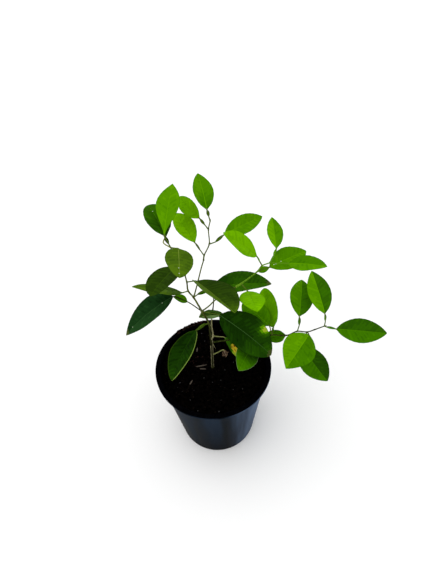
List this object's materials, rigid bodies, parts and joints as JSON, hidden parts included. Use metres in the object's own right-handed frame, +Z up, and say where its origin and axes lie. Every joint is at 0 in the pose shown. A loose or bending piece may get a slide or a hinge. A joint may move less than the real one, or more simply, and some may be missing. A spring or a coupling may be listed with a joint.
{
  "type": "potted lime tree",
  "caption": "Young lime tree with a leaning trunk, side shoots and glossy leaves, growing in soil in a round plastic nursery pot.",
  "frame": {"origin": "centre of the pot's flat underside, where it stands on the ground", "axes": "+Z up, +X to the right as the picture shows it, +Y away from the viewer"},
  "size_m": [0.3065, 0.1555, 0.3873],
  "materials": {
    "pot_plastic": "satin",
    "potting_soil": "matte",
    "bark": "matte",
    "green_bark": "satin",
    "dead_wood": "matte",
    "old_leaf": "satin",
    "young_leaf": "satin",
    "dry_leaf": "matte"
  },
  "bodies": {
    "root": {"pot": "pot_plastic", "soil": "potting_soil", "trunk": "bark", "dead_stick": "dead_wood", "top_bough": "green_bark", "right_bough": "green_bark", "low_right_bough": "green_bark", "leaf_left_long": "old_leaf", "leaf_front": "old_leaf", "leaf_back_right": "old_leaf", "leaf_large_right": "old_leaf", "leaf_left_low": "old_leaf", "leaf_behind_trunk": "old_leaf", "leaf_over_pot": "old_leaf", "leaf_spotted": "old_leaf", "dry_scrap": "dry_leaf", "leader_foliage": "young_leaf", "top_foliage": "young_leaf", "right_foliage": "young_leaf", "low_right_foliage": "young_leaf"}
  },
  "joints": []
}
